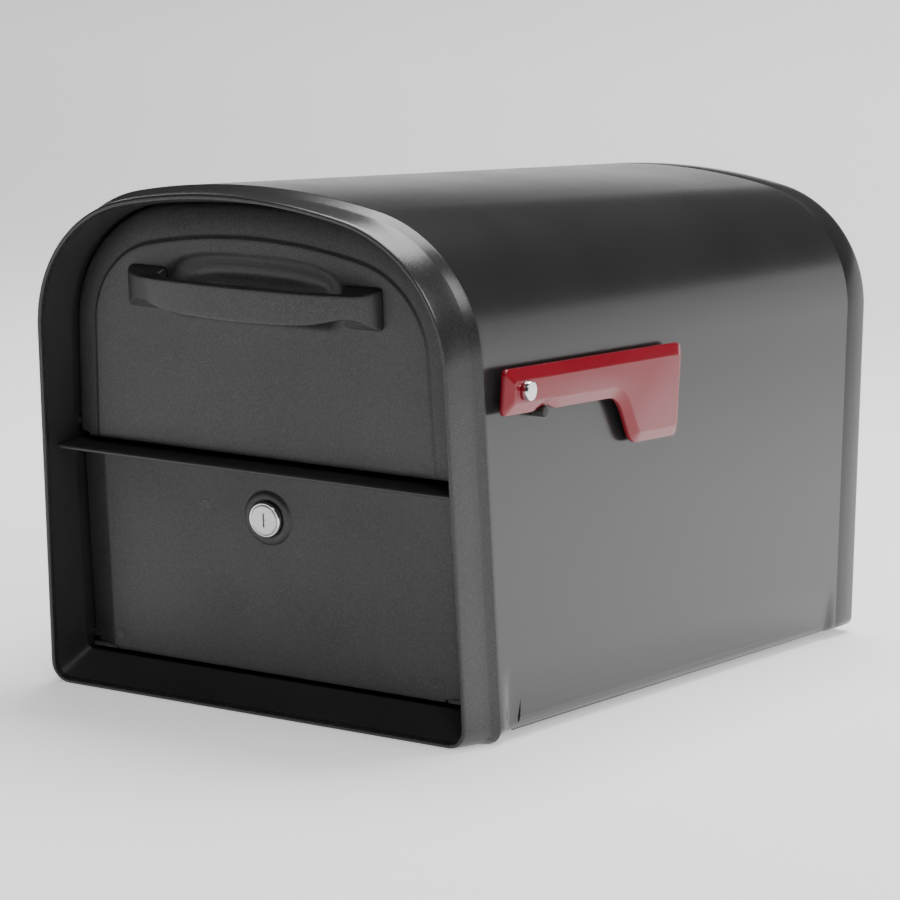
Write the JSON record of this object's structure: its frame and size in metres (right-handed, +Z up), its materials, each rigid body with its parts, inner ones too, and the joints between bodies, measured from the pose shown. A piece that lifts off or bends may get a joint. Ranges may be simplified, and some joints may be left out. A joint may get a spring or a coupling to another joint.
{
  "type": "locking parcel mailbox",
  "caption": "Arched steel mailbox for a post, with a tilting hopper door above a locked access door, a bow handle, a cam lock and a side signal flag.",
  "frame": {"origin": "centre of the post bolt pattern, on the underside of the floor", "axes": "+Z up, +Y from the doors to the back, +X to the side with the flag"},
  "size_m": [0.3048, 0.5425, 0.3001],
  "materials": {
    "body_black": "gloss black powder coat",
    "front_grey": "fine textured charcoal",
    "zinc_steel": "zinc plated",
    "chrome": "polished",
    "rubber_black": "matte",
    "nylon_black": "smooth",
    "flag_red": "gloss dark red"
  },
  "bodies": {
    "housing": {"body_shell": "body_black", "floor_pan": "body_black", "rear_cap": "body_black", "cap_screws": "body_black", "front_bezel": "front_grey", "bezel_screws": "body_black", "divider_shelf": "body_black", "lock_strike": "zinc_steel", "strike_rivets": "zinc_steel", "guard_baffle": "zinc_steel", "hopper_pins": "body_black", "access_pins": "body_black", "door_bumpers": "rubber_black", "flag_post": "nylon_black", "flag_screw": "chrome", "spring_washer": "zinc_steel", "flag_nut": "zinc_steel", "flag_stop": "rubber_black"},
    "hopper": {"hopper_door": "front_grey", "hopper_handle": "front_grey", "handle_screws": "zinc_steel", "hopper_tray": "zinc_steel", "left_cheek": "zinc_steel", "right_cheek": "zinc_steel", "tray_rivets": "zinc_steel"},
    "access": {"access_door": "front_grey", "access_liner": "zinc_steel", "access_plugs": "front_grey", "liner_rivets": "zinc_steel", "lock_housing": "chrome", "lock_nut": "zinc_steel"},
    "lock": {"lock_plug": "chrome", "lock_cam": "zinc_steel", "cam_screw": "zinc_steel"},
    "shutter": {"keyway_shutter": "zinc_steel"},
    "signal_flag": {"flag": "flag_red", "flag_bush": "nylon_black"}
  },
  "joints": [
    {"name": "hopper_hinge", "type": "hinge", "parent": "housing", "child": "hopper", "pos_m": [0, -0.23799, 0.14978], "axis": [1, 0, 0], "range_deg": [0, 50]},
    {"name": "access_hinge", "type": "hinge", "parent": "housing", "child": "access", "pos_m": [0, -0.21665, 0.02204], "axis": [1, 0, 0], "range_deg": [0, 95]},
    {"name": "lock_turn", "type": "hinge", "parent": "access", "child": "lock", "pos_m": [0, -0.24157, 0.10656], "axis": [0, -0.9888, -0.1495], "range_deg": [0, 90]},
    {"name": "shutter_push", "type": "slide", "parent": "lock", "child": "shutter", "axis": [0, 0.9888, 0.1495], "range_m": [0, 0.002], "stiffness_N_per_m": 20},
    {"name": "flag_pivot", "type": "hinge", "parent": "housing", "child": "signal_flag", "pos_m": [0.15, -0.2204, 0.194], "axis": [1, 0, 0], "range_deg": [0, 90]}
  ]
}
